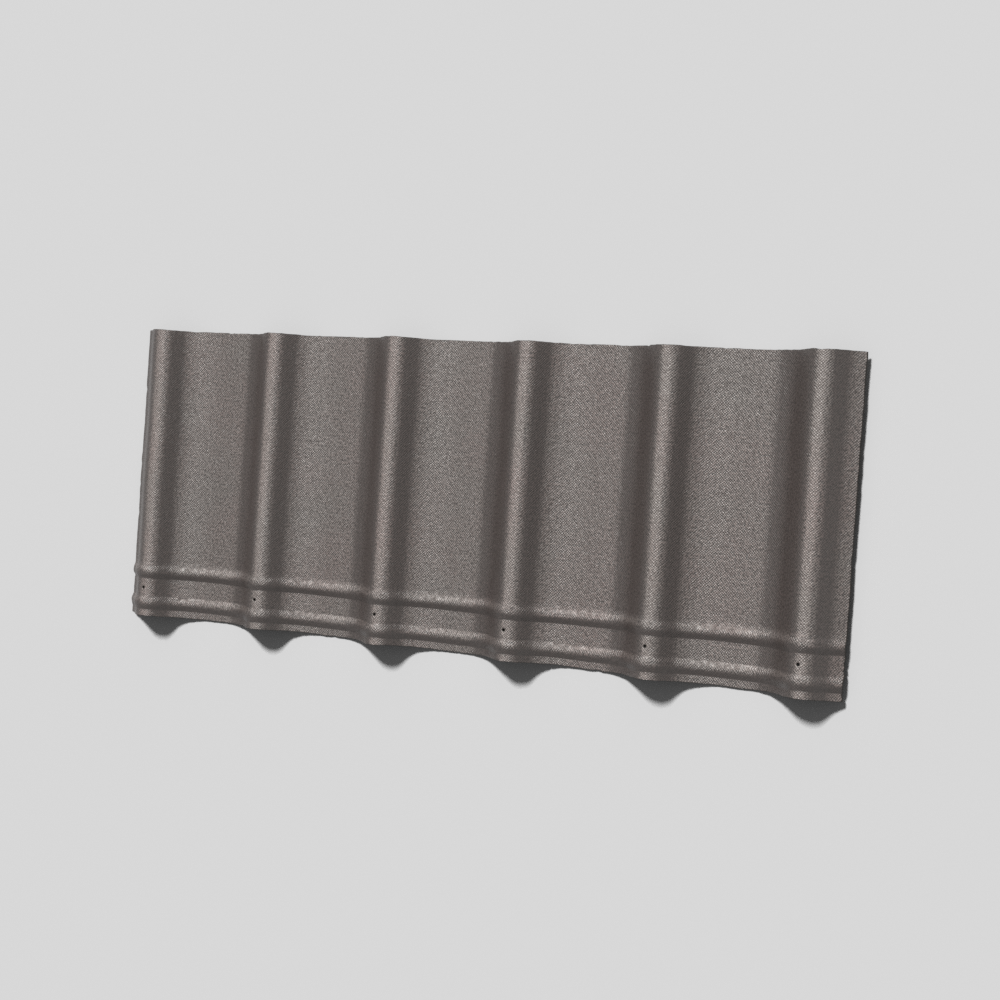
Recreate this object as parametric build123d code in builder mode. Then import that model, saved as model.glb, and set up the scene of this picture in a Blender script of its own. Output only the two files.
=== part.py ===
from build123d import *
from math import atan2, cos, degrees, radians, sin, sqrt, tan
import os

# One corrugated asphalt roofing sheet, in millimetres.
# X runs across the waves, Y up the slope of the roof, Z up out of the sheet.

# waves, with the radii and heights taken at the middle of the thickness
wave_count = 6
pitch = 194.0
wave_height = 38.0
crest_radius = 26.0
flank_angle = 41.0
foot_radius = 42.0
pan_rise_angle = 8.0
pan_radius = 120.0
side_margin = 45.0

# sheet
sheet_length = 400.0
thickness = 3.0

# from the lower edge up the slope: a plain strip, a rib, the band that is fixed down, a rib
edge_strip = 8.5
rib_width = 19.0
rib_height = 3.2
rib_crown_radius = 6.0
fixing_band = 24.0
fixing_hole_diameter = 3.5

sheet_width = (wave_count - 1) * pitch + 2 * side_margin
crest_height = wave_height + thickness
first_pan = -wave_count * pitch / 2
lower_edge = -sheet_length / 2
fixing_line = lower_edge + edge_strip + rib_width + fixing_band / 2


def half_wave():
    """Steps from the middle of a pan up to the flank's top, in the form that trace takes.

    The flank is as long as the height needs, and the flat of the pan takes what the pitch leaves."""
    flank, pan = radians(flank_angle), radians(pan_rise_angle)
    crest_run, crest_drop = crest_radius * sin(flank), crest_radius * (1 - cos(flank))
    foot_run, foot_rise = foot_radius * (sin(flank) - sin(pan)), foot_radius * (cos(pan) - cos(flank))
    pan_run, pan_rise = pan_radius * sin(pan), pan_radius * (1 - cos(pan))
    flank_length = (wave_height - crest_drop - foot_rise - pan_rise) / sin(flank)
    half_flat = pitch / 2 - crest_run - foot_run - pan_run - flank_length * cos(flank)
    return [
        (half_flat, 0),
        (pan_radius, pan_rise_angle),
        (foot_radius, flank_angle - pan_rise_angle),
        (flank_length, 0),
    ]


def trace(x, y, steps):
    """Draw a run of straights, arcs and creases that sets off level.

    A step is (length, 0) for a straight, (radius, turn in degrees) for an arc that carries on
    from it without a corner, or (0, turn) for a crease."""
    heading = 0.0
    for size, turn in steps:
        half = radians(turn / 2)
        chord = 2 * size * sin(abs(half)) if turn else size
        end_x = x + chord * cos(heading + half)
        end_y = y + chord * sin(heading + half)
        if size and turn:
            near = 2 * size * sin(abs(half) / 2)
            middle = (x + near * cos(heading + half / 2), y + near * sin(heading + half / 2))
            ThreePointArc((x, y), middle, (end_x, end_y))
        elif size:
            Line((x, y), (end_x, end_y))
        x, y = end_x, end_y
        heading += 2 * half


def cut_steps(level):
    """Steps up the slope along one face of the sheet, level above the middle of its thickness.

    A rib has two straight slopes, creased at the foot, under a round crown."""
    slope_length = sqrt((rib_width / 2) ** 2 + rib_height**2 - 2 * rib_height * rib_crown_radius)
    slope = atan2(rib_height - rib_crown_radius, rib_width / 2) + atan2(rib_crown_radius, slope_length)
    # a face above the middle meets each crease sooner, and one below it later
    mitre = level * tan(slope / 2)
    up, side = (0, degrees(slope)), (slope_length - mitre, 0)
    rib = [up, side, (rib_crown_radius + level, -2 * degrees(slope)), side, up]
    plain_rest = sheet_length - edge_strip - 2 * rib_width - fixing_band
    return [(edge_strip - mitre, 0)] + rib + [(fixing_band - 2 * mitre, 0)] + rib + [(plain_rest - mitre, 0)]


rise = half_wave()
one_wave = rise + [(crest_radius, -2 * flank_angle)] + rise[::-1]

with BuildPart() as sheet:
    # the wave along the middle of the thickness, from pan to pan
    with BuildLine(Plane.XZ) as wave:
        trace(first_pan, thickness / 2, one_wave * wave_count)

    # the cut through the sheet up the slope, ribs and all
    with BuildSketch(Plane((first_pan, 0, thickness / 2), x_dir=(0, 1, 0), z_dir=(1, 0, 0))) as cut:
        with BuildLine():
            for level in (thickness / 2, -thickness / 2):
                trace(lower_edge, level, cut_steps(level))
            for end in (lower_edge, -lower_edge):
                Line((end, -thickness / 2), (end, thickness / 2))
        make_face()
    sweep(sections=cut.sketch, path=wave.wires()[0])

    # both sides are trimmed upright, a little past the outer crests
    split(bisect_by=Plane.YZ.offset(sheet_width / 2), keep=Keep.BOTTOM)
    split(bisect_by=Plane.YZ.offset(-sheet_width / 2), keep=Keep.TOP)

    # one fixing hole through the top of each crest, midway between the ribs
    with Locations((0, fixing_line, crest_height)):
        with GridLocations(pitch, pitch, wave_count, 1):
            Hole(fixing_hole_diameter / 2, depth=2 * thickness)

sheet.part.label = "roofing_sheet"
os.makedirs("parts", exist_ok=True)
export_step(sheet.part, "parts/roofing_sheet.step")
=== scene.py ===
import math
from collections import namedtuple

import bpy
import numpy as np
from mathutils import Matrix, Vector


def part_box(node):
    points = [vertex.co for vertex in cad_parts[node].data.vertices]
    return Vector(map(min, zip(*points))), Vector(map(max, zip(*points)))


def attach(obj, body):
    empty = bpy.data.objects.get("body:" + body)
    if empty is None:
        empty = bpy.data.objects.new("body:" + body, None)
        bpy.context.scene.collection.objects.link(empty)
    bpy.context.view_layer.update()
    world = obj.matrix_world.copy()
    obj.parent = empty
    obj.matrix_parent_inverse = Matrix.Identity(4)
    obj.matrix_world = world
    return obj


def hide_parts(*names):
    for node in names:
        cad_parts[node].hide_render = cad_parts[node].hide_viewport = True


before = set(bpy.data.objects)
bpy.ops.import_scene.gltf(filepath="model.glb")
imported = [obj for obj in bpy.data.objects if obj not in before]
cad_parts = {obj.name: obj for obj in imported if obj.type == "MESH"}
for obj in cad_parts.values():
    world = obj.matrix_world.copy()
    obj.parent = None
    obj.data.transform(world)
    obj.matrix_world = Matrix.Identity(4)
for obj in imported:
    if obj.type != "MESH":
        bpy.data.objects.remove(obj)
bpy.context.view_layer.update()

# Sizes in metres. X runs across the waves, Y up the slope, Z out of the weather face.
LOW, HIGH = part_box("roofing_sheet")

# the wave, at the middle of the thickness
WAVES = 6
PITCH = 0.194
WAVE_HEIGHT = 0.038
CREST_RADIUS = 0.022
Side = namedtuple("Side", "flank_angle foot_radius pan_angle pan_radius")
RIGHT = Side(math.radians(48), 0.056, math.radians(17), 0.135)
LEFT = Side(math.radians(46), 0.036, math.radians(17), 0.090)
WAVE_SOFTNESS = 0.0025
THICKNESS = 0.003
CRESTS = [PITCH * (k - (WAVES - 1) / 2) for k in range(WAVES)]

# the two ribs and the band between them, from the lower edge up
EDGE_STRIP = 0.0085
RIB_WIDTH = 0.019
RIB_HEIGHT = 0.0029
RIB_CROWN_RADIUS = 0.0112
RIB_LEAN = 0.0009
RIB_SOFTNESS = 0.0005
# the ribs keep this share of their height on the crests, and lose the rest between these levels
RIB_ON_CREST = 0.62
RIB_FADE = (0.0315, 0.0385)
FIXING_BAND = 0.024
FIXING_LINE = LOW.y + EDGE_STRIP + RIB_WIDTH + FIXING_BAND / 2

# a hole's walls, from the weather face down: radius and height above the middle of the thickness
HOLE_WALL = ((0.00210, 0.0015), (0.00175, 0.0011), (0.00175, -0.0013), (0.00190, -0.0017))
HOLE_RINGS = ((4, 0.0029), (5, 0.0054))
DENT_DEPTH = 0.0006
DENT_RADIUS = 0.0026

# a cut edge, from the weather face down: inset from the sheet's side and height above the middle
CUT_EDGE = ((0.00045, 0.0015), (0.00012, 0.00133), (0, 0.00095), (0, -0.00095), (0.00012, -0.00133),
            (0.00045, -0.0015))
ARRIS_CELL = 0.0006

# the mesh: fine cells on each crest and round each hole, coarse ones between
FINE_HALF = 0.0128
FINE_CELLS = 16
COARSE_CELLS = 48
SIDE_CELLS = 9
STRIP_CELLS = 4
RIB_CELLS = 24
SPARE_CELLS = 2
PLAIN_CELLS = 56
HOLE_RING = 3
HOLE_BLOCK = 6
FAR_RING = 99
BLOCK_HALF = 0.0096

# how far the real sheet strays from the drawing: axis, distance and longest wave
UNEVENNESS = ((2, 0.00035, 0.35), (1, 0.0007, 0.30), (0, 0.0007, 0.40))
# each term of that waviness is shorter and lower than the one before, and their sum is scaled to about 1
WAVINESS_TERMS = 6
WAVINESS_SHORTER = 0.6
WAVINESS_LOWER = 0.5
WAVINESS_SUM = 2.4

# a ragged cut: knots' spacing and share of the depth, and small bites out of the edge
RAGGED_DEPTH = 0.00028
RAGGED_REACH = 0.007
RAGGED_KNOTS = ((0.0022, 0.8), (0.006, 1.0), (0.03, 1.2))
BITES = 7
BITE_WIDTH = (0.002, 0.004)
BITE_DEPTH = (0.0004, 0.001)

# painted shade on the coat, from 0, none, to 1, the deepest: its level in the pans and on the flanks, and the
# slopes across the sheet between which it sets in on the left and on the right flanks, as they turn from the
# light
PAN_PAINTED_SHADE = 0.375
FLANK_PAINTED_SHADE = 0.90
LEFT_SHADE_SLOPES = (0, 0.17)
RIGHT_SHADE_SLOPES = (0.55, 0.95)
# a painted highlight along a crest, free of painted shade: where it starts and where it ends, across from the
# crest's middle
CREST_HIGHLIGHT_START = (-0.0075, -0.0005)
CREST_HIGHLIGHT_END = (0.0065, 0.0105)
# a rib has painted shade on its lower side and a painted highlight on its upper side, less so on the left
# flanks and not on the right ones
RIB_EDGE_HEIGHT = 0.001
RIB_FULL_TILT = 0.3
RIB_HIGHLIGHT = 0.75
RIB_HIGHLIGHT_ON_LEFT = 0.5
RIB_HIGHLIGHT_END_SLOPE = 0.45

# the tables: the distance between two points, and how far they reach past the sheet
STEP = 0.0002
TABLE_MARGIN = 0.02


def ramp(value, start, end):
    """0 up to start, 1 from end on, and a straight line between them."""
    return np.clip((value - start) / (end - start), 0, 1)


def soften(values, sigma):
    """Values a STEP apart, blurred by a bell curve of width sigma."""
    reach = int(math.ceil(4 * sigma / STEP))
    bell = np.exp(-0.5 * (np.arange(-reach, reach + 1) * STEP / sigma) ** 2)
    return np.convolve(np.pad(values, reach, mode="edge"), bell / bell.sum(), mode="valid")


def wave_drop(away, side):
    """How far the sheet has dropped from a crest's top at this distance from it, up to half a pitch."""
    flank_angle, foot_radius, pan_angle, pan_radius = side
    crest_run = CREST_RADIUS * math.sin(flank_angle)
    crest_drop = CREST_RADIUS * (1 - math.cos(flank_angle))
    foot_run = foot_radius * (math.sin(flank_angle) - math.sin(pan_angle))
    foot_drop = foot_radius * (math.cos(pan_angle) - math.cos(flank_angle))
    pan_run = pan_radius * math.sin(pan_angle)
    pan_drop = pan_radius * (1 - math.cos(pan_angle))
    flank_drop = WAVE_HEIGHT - crest_drop - foot_drop - pan_drop
    flank_end = crest_run + flank_drop / math.tan(flank_angle)
    foot_end = flank_end + foot_run
    pan_end = foot_end + pan_run
    crest = CREST_RADIUS - np.sqrt(np.maximum(CREST_RADIUS**2 - away**2, 0))
    flank = crest_drop + (away - crest_run) * math.tan(flank_angle)
    foot_middle = flank_end + foot_radius * math.sin(flank_angle)
    foot = np.sqrt(np.maximum(foot_radius**2 - (foot_middle - away) ** 2, 0))
    foot = crest_drop + flank_drop + foot - foot_radius * math.cos(flank_angle)
    pan = WAVE_HEIGHT - pan_radius + np.sqrt(np.maximum(pan_radius**2 - (pan_end - away) ** 2, 0))
    reached = [away < crest_run, away < flank_end, away < foot_end, away < pan_end]
    return np.select(reached, [crest, flank, foot, pan], WAVE_HEIGHT)


def rib_rise(up):
    """The ribs' height above the plain sheet, at this distance up from the lower edge.

    A rib has a round crown between two straight sides, the upper one a little steeper."""
    rise = np.zeros_like(up)
    for middle in (EDGE_STRIP + RIB_WIDTH / 2, EDGE_STRIP + 1.5 * RIB_WIDTH + FIXING_BAND):
        past = up - middle - RIB_LEAN
        away = np.abs(past)
        half = RIB_WIDTH / 2 - (past > 0) * RIB_LEAN
        tangent = np.sqrt(half**2 + RIB_HEIGHT**2 - 2 * RIB_HEIGHT * RIB_CROWN_RADIUS)
        slope = np.arctan2(RIB_HEIGHT - RIB_CROWN_RADIUS, half) + np.arctan2(RIB_CROWN_RADIUS, tangent)
        crown = RIB_HEIGHT - RIB_CROWN_RADIUS + np.sqrt(np.maximum(RIB_CROWN_RADIUS**2 - away**2, 0))
        side = np.maximum((half - away) * np.tan(slope), 0)
        rise += np.where(away < RIB_CROWN_RADIUS * np.sin(slope), crown, side)
    return rise


# tables of the wave and of the ribs, read between their points
wave_x = np.arange(LOW.x - TABLE_MARGIN, HIGH.x + TABLE_MARGIN, STEP)
from_crest = wave_x - np.array(CRESTS)[np.abs(wave_x[:, None] - CRESTS).argmin(axis=1)]
wave_z = np.where(from_crest > 0, wave_drop(np.abs(from_crest), RIGHT), wave_drop(np.abs(from_crest), LEFT))
wave_z = soften(THICKNESS / 2 + WAVE_HEIGHT - wave_z, WAVE_SOFTNESS)
wave_slope = np.gradient(wave_z, STEP)
wave_arc = np.cumsum(np.hypot(1, wave_slope)) * STEP
rib_y = np.arange(LOW.y - TABLE_MARGIN, HIGH.y + TABLE_MARGIN, STEP)
rib_z = soften(rib_rise(rib_y - LOW.y), RIB_SOFTNESS)
rib_slope = np.gradient(rib_z, STEP)
rib_share = 1 - (1 - RIB_ON_CREST) * ramp(wave_z, *RIB_FADE)

random = np.random.RandomState(7)


def waviness(x, y, longest):
    """A smooth field between about -1 and 1 over the sheet."""
    total = np.zeros_like(x)
    for k in range(WAVINESS_TERMS):
        turn = random.uniform(0, math.pi)
        length = longest / (1 + WAVINESS_SHORTER * k)
        along = (x * math.cos(turn) + y * math.sin(turn)) * 2 * math.pi / length
        total += np.sin(along + random.uniform(0, 2 * math.pi)) / (1 + WAVINESS_LOWER * k)
    return total / WAVINESS_SUM


def ragged(places):
    """How far a cut edge strays outwards at these places along it."""
    total = np.zeros_like(places)
    for spacing, share in RAGGED_KNOTS:
        knots = np.arange(places.min() - spacing, places.max() + 2 * spacing, spacing)
        total += share * np.interp(places, knots, random.uniform(-1, 1, len(knots)))
    total *= RAGGED_DEPTH
    for _ in range(BITES):
        middle = random.uniform(places.min(), places.max())
        width = random.uniform(*BITE_WIDTH)
        total -= random.uniform(*BITE_DEPTH) * np.exp(-(((places - middle) / width) ** 4))
    return total


def sheet_points(x, y, level, side_share):
    """Points on the sheet, level above the middle of its thickness. The ribs are lower on the crests.

    side_share is 1 on the two sides, which are trimmed upright, and 0 away from them."""
    rib_part = np.interp(x, wave_x, rib_share)
    rib = rib_part * np.interp(y, rib_y, rib_slope)
    out = rib_part * np.interp(y, rib_y, rib_z) + level / np.hypot(1, rib)
    slope = np.interp(x, wave_x, wave_slope)
    across = x + side_share * out * slope / np.hypot(1, slope)
    slope = np.interp(across, wave_x, wave_slope)
    steep = np.hypot(1, slope)
    points = np.empty(x.shape + (3,))
    points[..., 0] = across - out * slope / steep
    points[..., 1] = y - level * rib / np.hypot(1, rib)
    points[..., 2] = np.interp(across, wave_x, wave_z) + out / steep
    return points


def marks(runs, start):
    """Places along a line: runs is a list of (length, cells)."""
    places = [start]
    for length, cells in runs:
        places += list(places[-1] + np.arange(1, cells + 1) * length / cells)
    return np.array(places)


inset = CUT_EDGE[0][0]
margin = CRESTS[0] - FINE_HALF - LOW.x - inset - ARRIS_CELL
wave_run = [(2 * FINE_HALF, FINE_CELLS), (PITCH - 2 * FINE_HALF, COARSE_CELLS)]
column_x = marks([(ARRIS_CELL, 1), (margin, SIDE_CELLS)] + wave_run * (WAVES - 1) + wave_run[:1]
                 + [(margin, SIDE_CELLS), (ARRIS_CELL, 1)], LOW.x + inset)
spare = FIXING_BAND / 2 - BLOCK_HALF
plain = HIGH.y - LOW.y - EDGE_STRIP - 2 * RIB_WIDTH - FIXING_BAND - inset - ARRIS_CELL
rib_run = (RIB_WIDTH, RIB_CELLS)
spare_run = (spare, SPARE_CELLS)
row_y = marks([(ARRIS_CELL, 1), (EDGE_STRIP - inset - ARRIS_CELL, STRIP_CELLS), rib_run, spare_run,
               (2 * BLOCK_HALF, 2 * HOLE_BLOCK), spare_run, rib_run, (plain, PLAIN_CELLS), (ARRIS_CELL, 1)],
              LOW.y + inset)
columns, rows = len(column_x), len(row_y)
grid_x, grid_y = np.meshgrid(column_x, row_y, indexing="ij")
side_share = np.clip((np.abs(grid_x) + margin + ARRIS_CELL + inset - HIGH.x) / margin, 0, 1)

# the grid closes in on each hole, ring by ring
hole_row = int(np.argmin(np.abs(row_y - FIXING_LINE)))
hole_columns = [int(np.argmin(np.abs(column_x - c))) for c in CRESTS]
ring_of = np.full((columns, rows), FAR_RING)
steps = np.arange(-HOLE_BLOCK, HOLE_BLOCK + 1)
step_i, step_j = np.meshgrid(steps, steps, indexing="ij")
ring = np.maximum(np.abs(step_i), np.abs(step_j))
direction = np.arctan2(step_j, step_i)
for i in hole_columns:
    block = np.s_[i - HOLE_BLOCK:i + HOLE_BLOCK + 1, hole_row - HOLE_BLOCK:hole_row + HOLE_BLOCK + 1]
    ring_of[block] = ring
    for number, radius in HOLE_RINGS + ((HOLE_RING, 0),):
        on_ring = ring == number
        grid_x[block][on_ring] = column_x[i] + radius * np.cos(direction[on_ring])
        grid_y[block][on_ring] = row_y[hole_row] + radius * np.sin(direction[on_ring])

# the walk round the sheet, with the way outwards at each point
walk = [(i, 0) for i in range(columns - 1)] + [(columns - 1, j) for j in range(rows - 1)]
walk += [(i, rows - 1) for i in range(columns - 1, 0, -1)] + [(0, j) for j in range(rows - 1, 0, -1)]
walk_i, walk_j = np.array(walk).T
out_x = (walk_i == columns - 1) * 1.0 - (walk_i == 0)
out_y = (walk_j == rows - 1) * 1.0 - (walk_j == 0)

# the walk round a hole
along_ring = range(-HOLE_RING, HOLE_RING)
turn = [(HOLE_RING, k) for k in along_ring] + [(-k, HOLE_RING) for k in along_ring]
turn += [(-HOLE_RING, -k) for k in along_ring] + [(k, -HOLE_RING) for k in along_ring]
turn_i, turn_j = np.array(turn).T
turn_angle = np.arctan2(turn_j, turn_i)

# every point as across, up, level and share of the upright side, in one list
across, up, level, share = [], [], [], []


def add_points(x, y, height, side):
    """Add points, and return their numbers in the shape of x."""
    first = sum(len(a) for a in across)
    across.append(np.ravel(x))
    up.append(np.ravel(y))
    level.append(np.full(np.size(x), height))
    share.append(np.ravel(side))
    return first + np.arange(np.size(x)).reshape(np.shape(x))


top = add_points(grid_x, grid_y, THICKNESS / 2, side_share)
under = add_points(grid_x, grid_y, -THICKNESS / 2, side_share)
rim = [top[walk_i, walk_j]]
for edge_inset, height in CUT_EDGE[1:-1]:
    rim.append(add_points(grid_x[walk_i, walk_j] + (inset - edge_inset) * out_x,
                          grid_y[walk_i, walk_j] + (inset - edge_inset) * out_y, height, np.abs(out_x)))
rim.append(under[walk_i, walk_j])
walls = []
for i in hole_columns:
    wall = [top[i + turn_i, hole_row + turn_j]]
    for radius, height in HOLE_WALL[1:-1]:
        wall.append(add_points(column_x[i] + radius * np.cos(turn_angle),
                               FIXING_LINE + radius * np.sin(turn_angle), height, 0 * turn_angle))
    wall.append(under[i + turn_i, hole_row + turn_j])
    walls.append(wall)
across, up, level, share = (np.concatenate(a) for a in (across, up, level, share))
for wall in walls:
    for loop, (radius, height) in ((wall[0], HOLE_WALL[0]), (wall[-1], HOLE_WALL[-1])):
        middle = across[wall[1]].mean()
        across[loop] = middle + radius * np.cos(turn_angle)
        up[loop] = FIXING_LINE + radius * np.sin(turn_angle)
        level[loop] = height

points = sheet_points(across, up, level, share)
for axis, distance, longest in UNEVENNESS:
    points[:, axis] += distance * waviness(across, up, longest)
for hole_x in CRESTS:
    away = np.hypot(across - hole_x, up - FIXING_LINE)
    points[:, 2] -= DENT_DEPTH * np.exp(-((away / DENT_RADIUS) ** 2))
for axis, end, sign in ((1, LOW.y, -1), (1, HIGH.y, 1), (0, LOW.x, -1), (0, HIGH.x, 1)):
    places, depth = (across, up) if axis == 1 else (up, across)
    inside = np.abs(depth - end)
    points[:, axis] += sign * ragged(places) * np.clip(1 - inside / RAGGED_REACH, 0, 1)
points[:, 2] -= points[:, 2].min()


def strips(loops):
    """Quads between closed loops of point numbers, each loop inside the one before."""
    quads = []
    for upper, lower in zip(loops, loops[1:]):
        quads.append(np.stack([upper, lower, np.roll(lower, -1), np.roll(upper, -1)], axis=-1))
    return np.concatenate(quads)


corners = [top[:-1, :-1], top[1:, :-1], top[1:, 1:], top[:-1, 1:]]
cell_ring = np.maximum.reduce([ring_of[:-1, :-1], ring_of[1:, :-1], ring_of[1:, 1:], ring_of[:-1, 1:]])
kept = cell_ring > HOLE_RING
top_quads = np.stack(corners, axis=-1)[kept]
under_quads = (top_quads + under[0, 0] - top[0, 0])[:, ::-1]
rim_quads = strips(rim)
wall_quads = np.concatenate([strips(wall)[:, ::-1] for wall in walls])
quads = np.concatenate([top_quads, under_quads, rim_quads, wall_quads])
COATED, RAW_EDGE, UNDERSIDE = 0, 1, 2
finish = np.concatenate([np.full(len(top_quads), COATED), np.full(len(under_quads), UNDERSIDE),
                         np.full(len(rim_quads), RAW_EDGE), np.full(len(wall_quads), RAW_EDGE)])

# points inside the holes are dropped
used = np.unique(quads)
new_number = np.zeros(len(points), int)
new_number[used] = np.arange(len(used))
mesh = bpy.data.meshes.new("corrugated_sheet")
mesh.from_pydata(points[used].tolist(), [], new_number[quads].tolist())
mesh.polygons.foreach_set("material_index", finish)
mesh.polygons.foreach_set("use_smooth", np.ones(len(quads), bool))

# the weave's own map, in metres along the surface
weave_map = mesh.uv_layers.new(name="weave")
arc = np.interp(across, wave_x, wave_arc)
corner = quads.ravel()
weave_map.data.foreach_set("uv", np.stack([arc[corner], up[corner]], axis=-1).ravel())

# a second map, in which no two faces overlap: the two faces, then the rim, then the six holes' walls
MAP_WIDTH = (0.01, 0.99)
FACE_BANDS = ((COATED, 0.01, 0.47), (UNDERSIDE, 0.49, 0.92))
RIM_BAND = (0.94, 0.965)
WALL_BAND = (0.975, 0.99)
WALL_WIDTH = 0.13
bake_map = mesh.uv_layers.new(name="OFBake")
fit_u = MAP_WIDTH[0] + (MAP_WIDTH[1] - MAP_WIDTH[0]) * (arc - arc.min()) / np.ptp(arc)
fit_v = (up - up.min()) / np.ptp(up)
bake = np.stack([fit_u[quads], fit_v[quads]], axis=-1)
for face, low, high in FACE_BANDS:
    bake[finish == face, :, 1] = low + (high - low) * bake[finish == face, :, 1]
start = len(top_quads) + len(under_quads)
wall_starts = [MAP_WIDTH[0] + k / WAVES for k in range(WAVES)]
wall_places = [(wall, first, first + WALL_WIDTH) + WALL_BAND for wall, first in zip(walls, wall_starts)]
for loops, first_u, last_u, first_v, last_v in [(rim,) + MAP_WIDTH + RIM_BAND] + wall_places:
    around, deep = len(loops[0]), len(loops) - 1
    place_u = first_u + (last_u - first_u) * np.arange(around + 1) / around
    place_v = first_v + (last_v - first_v) * np.arange(deep + 1) / deep
    for row in range(deep):
        strip = np.empty((around, 4, 2))
        strip[:, 0] = np.stack([place_u[:-1], np.full(around, place_v[row])], axis=-1)
        strip[:, 1] = np.stack([place_u[:-1], np.full(around, place_v[row + 1])], axis=-1)
        strip[:, 2] = np.stack([place_u[1:], np.full(around, place_v[row + 1])], axis=-1)
        strip[:, 3] = np.stack([place_u[1:], np.full(around, place_v[row])], axis=-1)
        bake[start:start + around] = strip if loops is rim else strip[:, ::-1]
        start += around
bake_map.data.foreach_set("uv", bake.ravel())

# painted light and shade at each point, 1 the deepest shade: highlight on the crests, shade on the flanks and
# below the ribs
slope = np.interp(across, wave_x, wave_slope)
# painted shade on the flanks, deeper where they turn from the light
painted_shade = np.where(slope > 0, ramp(slope, *LEFT_SHADE_SLOPES), ramp(-slope, *RIGHT_SHADE_SLOPES))
painted_shade = np.maximum(PAN_PAINTED_SHADE, FLANK_PAINTED_SHADE * painted_shade)
# a painted highlight in a band along each crest, but not on the ribs
on_rib = ramp(np.interp(up, rib_y, rib_z), 0, RIB_EDGE_HEIGHT)
off_crest = np.interp(across, wave_x, from_crest)
in_crest_highlight = ramp(off_crest, *CREST_HIGHLIGHT_START) * (1 - ramp(off_crest, *CREST_HIGHLIGHT_END))
painted_shade *= 1 - (1 - on_rib) * in_crest_highlight
# painted shade on a rib's lower side, and a painted highlight on its upper side
tilt = np.interp(up, rib_y, rib_slope) / RIB_FULL_TILT
painted_shade = 1 - (1 - painted_shade) * (1 - ramp(tilt, 0, 1))
highlight_on_flank = np.where(slope > 0, RIB_HIGHLIGHT_ON_LEFT, 0)
highlight_share = highlight_on_flank + (1 - highlight_on_flank) * (1 - ramp(np.abs(slope), 0, RIB_HIGHLIGHT_END_SLOPE))
painted_shade *= 1 - RIB_HIGHLIGHT * ramp(-tilt, 0, 1) * highlight_share
painted_shade_layer = mesh.attributes.new("painted_shade_layer", "FLOAT", "POINT")
painted_shade_layer.data.foreach_set("value", painted_shade[used])

sheet = bpy.data.objects.new("corrugated_sheet", mesh)
bpy.context.scene.collection.objects.link(sheet)
mesh.validate()
mesh.update()


# the weave: its threads' period on each face, how far they stray and how finely
COATED_PERIOD = 0.0033
UNDERSIDE_PERIOD = 0.0034
STRAY = 0.0030
STRAY_SCALE = 190.0

# colours of the coat without painted shade, in two hues, and in its deepest painted shade, and of its dark
# specks
COAT_WARM = (0.322, 0.254, 0.233)
COAT_COOL = (0.301, 0.262, 0.240)
COAT_PAINTED_SHADE = (0.064, 0.047, 0.043)
SPECK_UNSHADED = (0.098, 0.078, 0.071)
SPECK_PAINTED_SHADE = (0.025, 0.019, 0.017)
# the painted shade at which the specks are as dark as they get
SPECK_SHADE_FROM = 0.33
# the share of the relief that is left where the painted shade is deepest
RELIEF_IN_SHADE = 0.72

# colours of the bare board: at a cut, and on the underside with the dark of its pores
CUT_DARK = (0.012, 0.010, 0.009)
CUT_LIGHT = (0.055, 0.046, 0.038)
UNDER_DARK = (0.027, 0.024, 0.022)
UNDER_LIGHT = (0.054, 0.048, 0.043)
UNDER_PORES = (0.008, 0.007, 0.007)

# the relief of each surface: its depth, and what the threads, the grain and the lumps have in it
COATED_RELIEF = 0.00038
CUT_RELIEF = 0.0003
UNDERSIDE_RELIEF = 0.00028
COATED_THREADS, COATED_GRAIN, COATED_LUMPS = 0.9, 1.2, 1.5
UNDERSIDE_THREADS, UNDERSIDE_LUMPS = 0.4, 1.2
# how strong the threads are, from patch to patch, and their part in the specks
THREAD_STRENGTH = (0.35, 1.1)
THREADS_IN_SPECKS = 0.30

# the values between which a noise is spread from 0 to 1
MIDDLE = (0.35, 0.65)
WIDE = (0.3, 0.7)
SPECK_EDGES = (0.38, 0.62)
PORE_EDGES = (0.35, 0.6)

# gloss
COATED_ROUGHNESS = (0.41, 0.48)
UNDERSIDE_ROUGHNESS = (0.6, 0.75)
CUT_ROUGHNESS = 0.85
COAT_SPECULAR_LEVEL = 0.75
COAT_SPECULAR_TINT = (1.0, 0.975, 0.94)
COAT_IOR = 1.7


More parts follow.
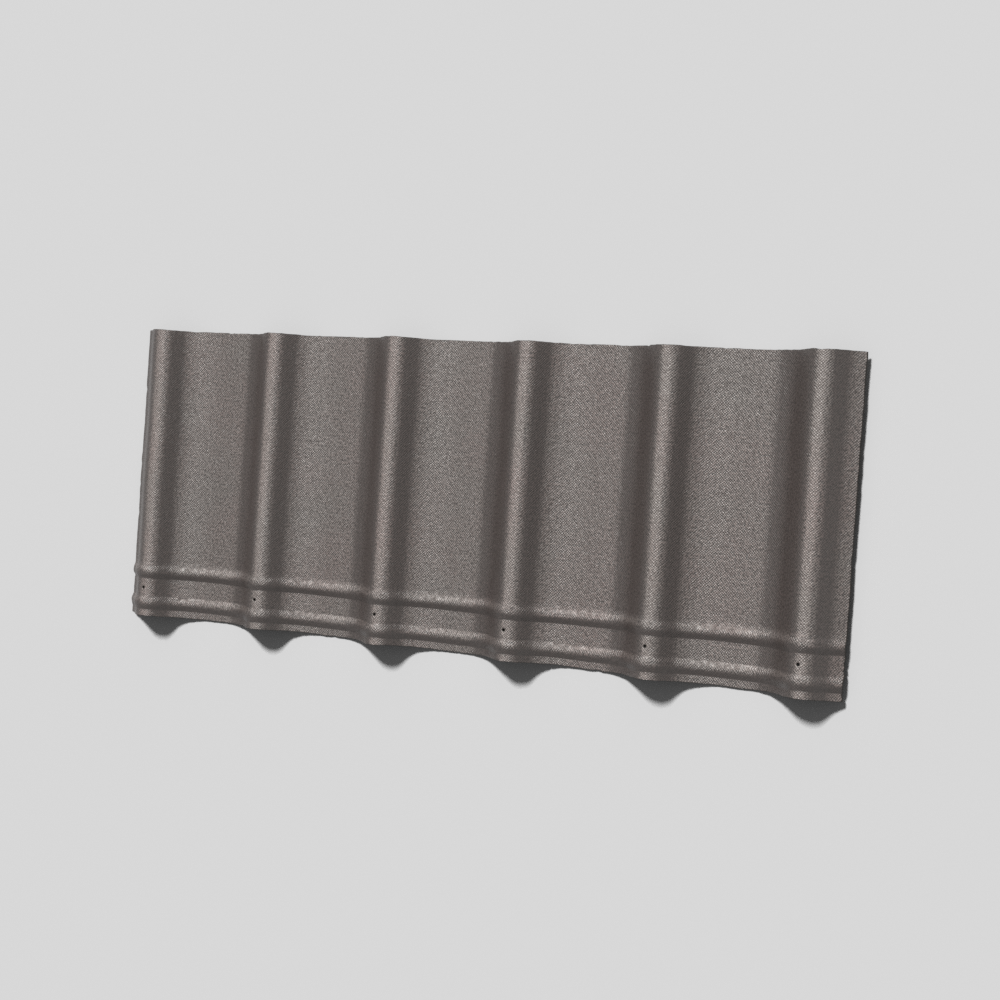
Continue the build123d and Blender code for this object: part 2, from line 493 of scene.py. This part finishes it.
class Tree:
    """A material's node tree, with short calls for the nodes that it is built from."""

    def __init__(self, name):
        self.material = bpy.data.materials.new(name)
        self.material.use_nodes = True
        self.nodes = self.material.node_tree.nodes
        self.links = self.material.node_tree.links
        self.shader = self.nodes["Principled BSDF"]

    def add(self, kind, settings=None, **inputs):
        """A node; an input is a value, or another node's socket."""
        node = self.nodes.new(kind)
        for key, value in (settings or {}).items():
            setattr(node, key, value)
        for key, value in inputs.items():
            self.put(node, key, value)
        return node

    def put(self, node, key, value):
        socket = node.inputs[int(key)] if key.isdigit() else node.inputs[key]
        if isinstance(value, bpy.types.NodeSocket):
            self.links.new(value, socket)
        else:
            socket.default_value = value

    def math(self, operation, first, second=0.0, third=0.0):
        node = self.add("ShaderNodeMath", {"operation": operation})
        for place, value in enumerate((first, second, third)):
            self.put(node, str(place), value)
        return node.outputs[0]

    def noise(self, where, scale, detail=2.0, roughness=0.5):
        inputs = {"Vector": where, "Scale": scale, "Detail": detail, "Roughness": roughness}
        return self.add("ShaderNodeTexNoise", None, **inputs).outputs[0]

    def between(self, value, low, high, out_low=0.0, out_high=1.0):
        """value, held between low and high, carried over to out_low and out_high."""
        node = self.add("ShaderNodeMapRange")
        for key, number in (("Value", value), ("From Min", low), ("From Max", high),
                            ("To Min", out_low), ("To Max", out_high)):
            self.put(node, key, number)
        return node.outputs[0]

    def mix(self, share, first, second):
        """Two colours mixed."""
        node = self.add("ShaderNodeMix", {"data_type": "RGBA"})
        for key, value in ((0, share), (6, first), (7, second)):
            self.put(node, str(key), value)
        return node.outputs[2]

    def weave(self, place, period):
        """The height of the felt's woven imprint, -1 to 1, its threads straying a little."""
        stray = self.add("ShaderNodeTexNoise", None, Vector=place, Scale=STRAY_SCALE, Detail=3.0).outputs[1]
        moved = self.add("ShaderNodeVectorMath", {"operation": "MULTIPLY_ADD"})
        for key, value in ((0, stray), (1, (STRAY, STRAY, 0)), (2, place)):
            self.put(moved, str(key), value)
        parts = self.add("ShaderNodeSeparateXYZ", None, Vector=moved.outputs[0])
        turns = [self.math("MULTIPLY", parts.outputs[k], 2 * math.pi / period) for k in (0, 1)]
        wave = [self.math("SINE", turn) for turn in turns]
        return self.math("MULTIPLY", wave[0], wave[1])

    def bump(self, height, distance):
        node = self.add("ShaderNodeBump", None, Height=height, Distance=distance, Strength=1.0)
        return node.outputs[0]


def opaque(colour):
    return colour + (1.0,)


def coated_face():
    """The weather face: a satin coat over the felt's woven imprint, with painted light and shade in its
    colour.
    """
    tree = Tree("coated_bitumen_fibre")
    place = tree.add("ShaderNodeUVMap", {"uv_map": "weave"}).outputs[0]
    threads = tree.weave(place, COATED_PERIOD)
    patches = tree.noise(place, scale=130.0, detail=3.0)
    threads = tree.math("MULTIPLY", threads, tree.between(patches, *MIDDLE, *THREAD_STRENGTH))
    grain = tree.noise(place, scale=350.0, detail=2.0)
    lumps = tree.noise(place, scale=45.0, detail=3.0)
    height = tree.math("MULTIPLY_ADD", threads, COATED_THREADS, tree.math("MULTIPLY", grain, COATED_GRAIN))
    height = tree.math("MULTIPLY_ADD", lumps, COATED_LUMPS, height)
    # painted light and shade from the mesh: darker colour, darker specks and fainter relief where the painted
    # shade is deeper
    painted_shade = tree.add("ShaderNodeAttribute", {"attribute_name": "painted_shade_layer"}).outputs["Fac"]
    relief = tree.between(painted_shade, PAN_PAINTED_SHADE, FLANK_PAINTED_SHADE, 1.0, RELIEF_IN_SHADE)
    height = tree.math("MULTIPLY", height, relief)
    hue = tree.between(tree.noise(place, scale=9.0, detail=3.0), *MIDDLE)
    light = tree.mix(hue, opaque(COAT_WARM), opaque(COAT_COOL))
    light = tree.mix(painted_shade, light, opaque(COAT_PAINTED_SHADE))
    dark = tree.mix(tree.between(painted_shade, 0.0, SPECK_SHADE_FROM), opaque(SPECK_UNSHADED), opaque(SPECK_PAINTED_SHADE))
    speck = tree.between(tree.math("MULTIPLY_ADD", threads, THREADS_IN_SPECKS, grain), *SPECK_EDGES)
    tree.put(tree.shader, "Base Color", tree.mix(speck, dark, light))
    tree.put(tree.shader, "Roughness", tree.between(lumps, *WIDE, *COATED_ROUGHNESS))
    tree.put(tree.shader, "Specular IOR Level", COAT_SPECULAR_LEVEL)
    tree.put(tree.shader, "Specular Tint", opaque(COAT_SPECULAR_TINT))
    tree.put(tree.shader, "IOR", COAT_IOR)
    tree.put(tree.shader, "Normal", tree.bump(height, COATED_RELIEF))
    return tree.material


def raw_edge():
    """A cut through the board: dark, matt and fibrous."""
    tree = Tree("cut_bitumen_fibre")
    place = tree.add("ShaderNodeTexCoord").outputs["Object"]
    fibres = tree.noise(place, scale=900.0, detail=4.0, roughness=0.7)
    colour = tree.mix(tree.between(fibres, *MIDDLE), opaque(CUT_DARK), opaque(CUT_LIGHT))
    tree.put(tree.shader, "Base Color", colour)
    tree.put(tree.shader, "Roughness", CUT_ROUGHNESS)
    tree.put(tree.shader, "Normal", tree.bump(fibres, CUT_RELIEF))
    return tree.material


def underside():
    """The uncoated face: darker, with a coarser imprint."""
    tree = Tree("raw_bitumen_fibre")
    place = tree.add("ShaderNodeUVMap", {"uv_map": "weave"}).outputs[0]
    threads = tree.weave(place, UNDERSIDE_PERIOD)
    grain = tree.noise(place, scale=500.0, detail=4.0, roughness=0.65)
    lumps = tree.noise(place, scale=35.0, detail=4.0)
    height = tree.math("MULTIPLY_ADD", threads, UNDERSIDE_THREADS, grain)
    height = tree.math("MULTIPLY_ADD", lumps, UNDERSIDE_LUMPS, height)
    colour = tree.mix(tree.between(lumps, *WIDE), opaque(UNDER_DARK), opaque(UNDER_LIGHT))
    pores = tree.mix(0.5, colour, opaque(UNDER_PORES))
    colour = tree.mix(tree.between(grain, *PORE_EDGES), pores, colour)
    tree.put(tree.shader, "Base Color", colour)
    tree.put(tree.shader, "Roughness", tree.between(grain, *WIDE, *UNDERSIDE_ROUGHNESS))
    tree.put(tree.shader, "Normal", tree.bump(height, UNDERSIDE_RELIEF))
    return tree.material


for material in (coated_face(), raw_edge(), underside()):
    mesh.materials.append(material)
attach(sheet, "root")
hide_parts("roofing_sheet")

# a pale floor
FLOOR_HALF = 60.0
FLOOR_GREY = 0.80
floor_corners = [(FLOOR_HALF * i, FLOOR_HALF * j, 0) for i, j in ((-1, -1), (1, -1), (1, 1), (-1, 1))]
floor_mesh = bpy.data.meshes.new("floor")
floor_mesh.from_pydata(floor_corners, [], [(0, 1, 2, 3)])
floor = bpy.data.objects.new("floor", floor_mesh)
bpy.context.scene.collection.objects.link(floor)
floor_tree = Tree("floor")
floor_tree.put(floor_tree.shader, "Base Color", opaque((FLOOR_GREY, FLOOR_GREY, FLOOR_GREY)))
floor_tree.put(floor_tree.shader, "Roughness", 0.9)
floor_tree.put(floor_tree.shader, "Specular IOR Level", 0.1)
floor_mesh.materials.append(floor_tree.material)

# light: one soft key from up the slope and a little to the left, and an even pale fill. The camera, gloss and
# glass see the paler background.
KEY_FROM = Vector((-0.105, 0.617, 0.780))
KEY_STRENGTH = 3.0
KEY_SPREAD = math.radians(9)
FILL_STRENGTH = 0.11
BACKGROUND_STRENGTH = 0.50
key_data = bpy.data.lights.new("key", "SUN")
key_data.energy = KEY_STRENGTH
key_data.angle = KEY_SPREAD
key = bpy.data.objects.new("key", key_data)
key.rotation_euler = KEY_FROM.to_track_quat("Z", "Y").to_euler()
bpy.context.scene.collection.objects.link(key)
world = bpy.data.worlds.new("studio")
world.use_nodes = True
nodes, links = world.node_tree.nodes, world.node_tree.links
nodes["Background"].inputs["Color"].default_value = (1.0, 1.0, 1.0, 1.0)
path = nodes.new("ShaderNodeLightPath").outputs
seen = path["Is Camera Ray"]
for kind in ("Is Glossy Ray", "Is Transmission Ray"):
    either = nodes.new("ShaderNodeMath")
    either.operation = "MAXIMUM"
    links.new(seen, either.inputs[0])
    links.new(path[kind], either.inputs[1])
    seen = either.outputs[0]
strength = nodes.new("ShaderNodeMapRange")
strength.inputs["To Min"].default_value = FILL_STRENGTH
strength.inputs["To Max"].default_value = BACKGROUND_STRENGTH
links.new(seen, strength.inputs["Value"])
links.new(strength.outputs[0], nodes["Background"].inputs["Strength"])
bpy.context.scene.world = world

# the camera, as the photograph was taken
EYE = Vector((1.2412, 0.0427, 2.0632))
FORWARD = Vector((-0.4981, -0.0183, -0.8669)).normalized()
UP = Vector((-0.0681, 0.9975, 0.018))
LENS_MM = 67.39
SENSOR_MM = 36
right = FORWARD.cross(UP).normalized()
camera_data = bpy.data.cameras.new("camera")
camera_data.lens = LENS_MM
camera_data.sensor_width = SENSOR_MM
camera = bpy.data.objects.new("camera", camera_data)
turned = Matrix((right, right.cross(FORWARD), -FORWARD)).transposed()
camera.matrix_world = Matrix.Translation(EYE) @ turned.to_4x4()
bpy.context.scene.collection.objects.link(camera)
bpy.context.scene.camera = camera

bpy.context.scene.view_settings.view_transform = "Standard"
# the sheet's grain is a pixel wide from here, and a denoiser takes it for noise
bpy.context.scene.cycles.use_denoising = False
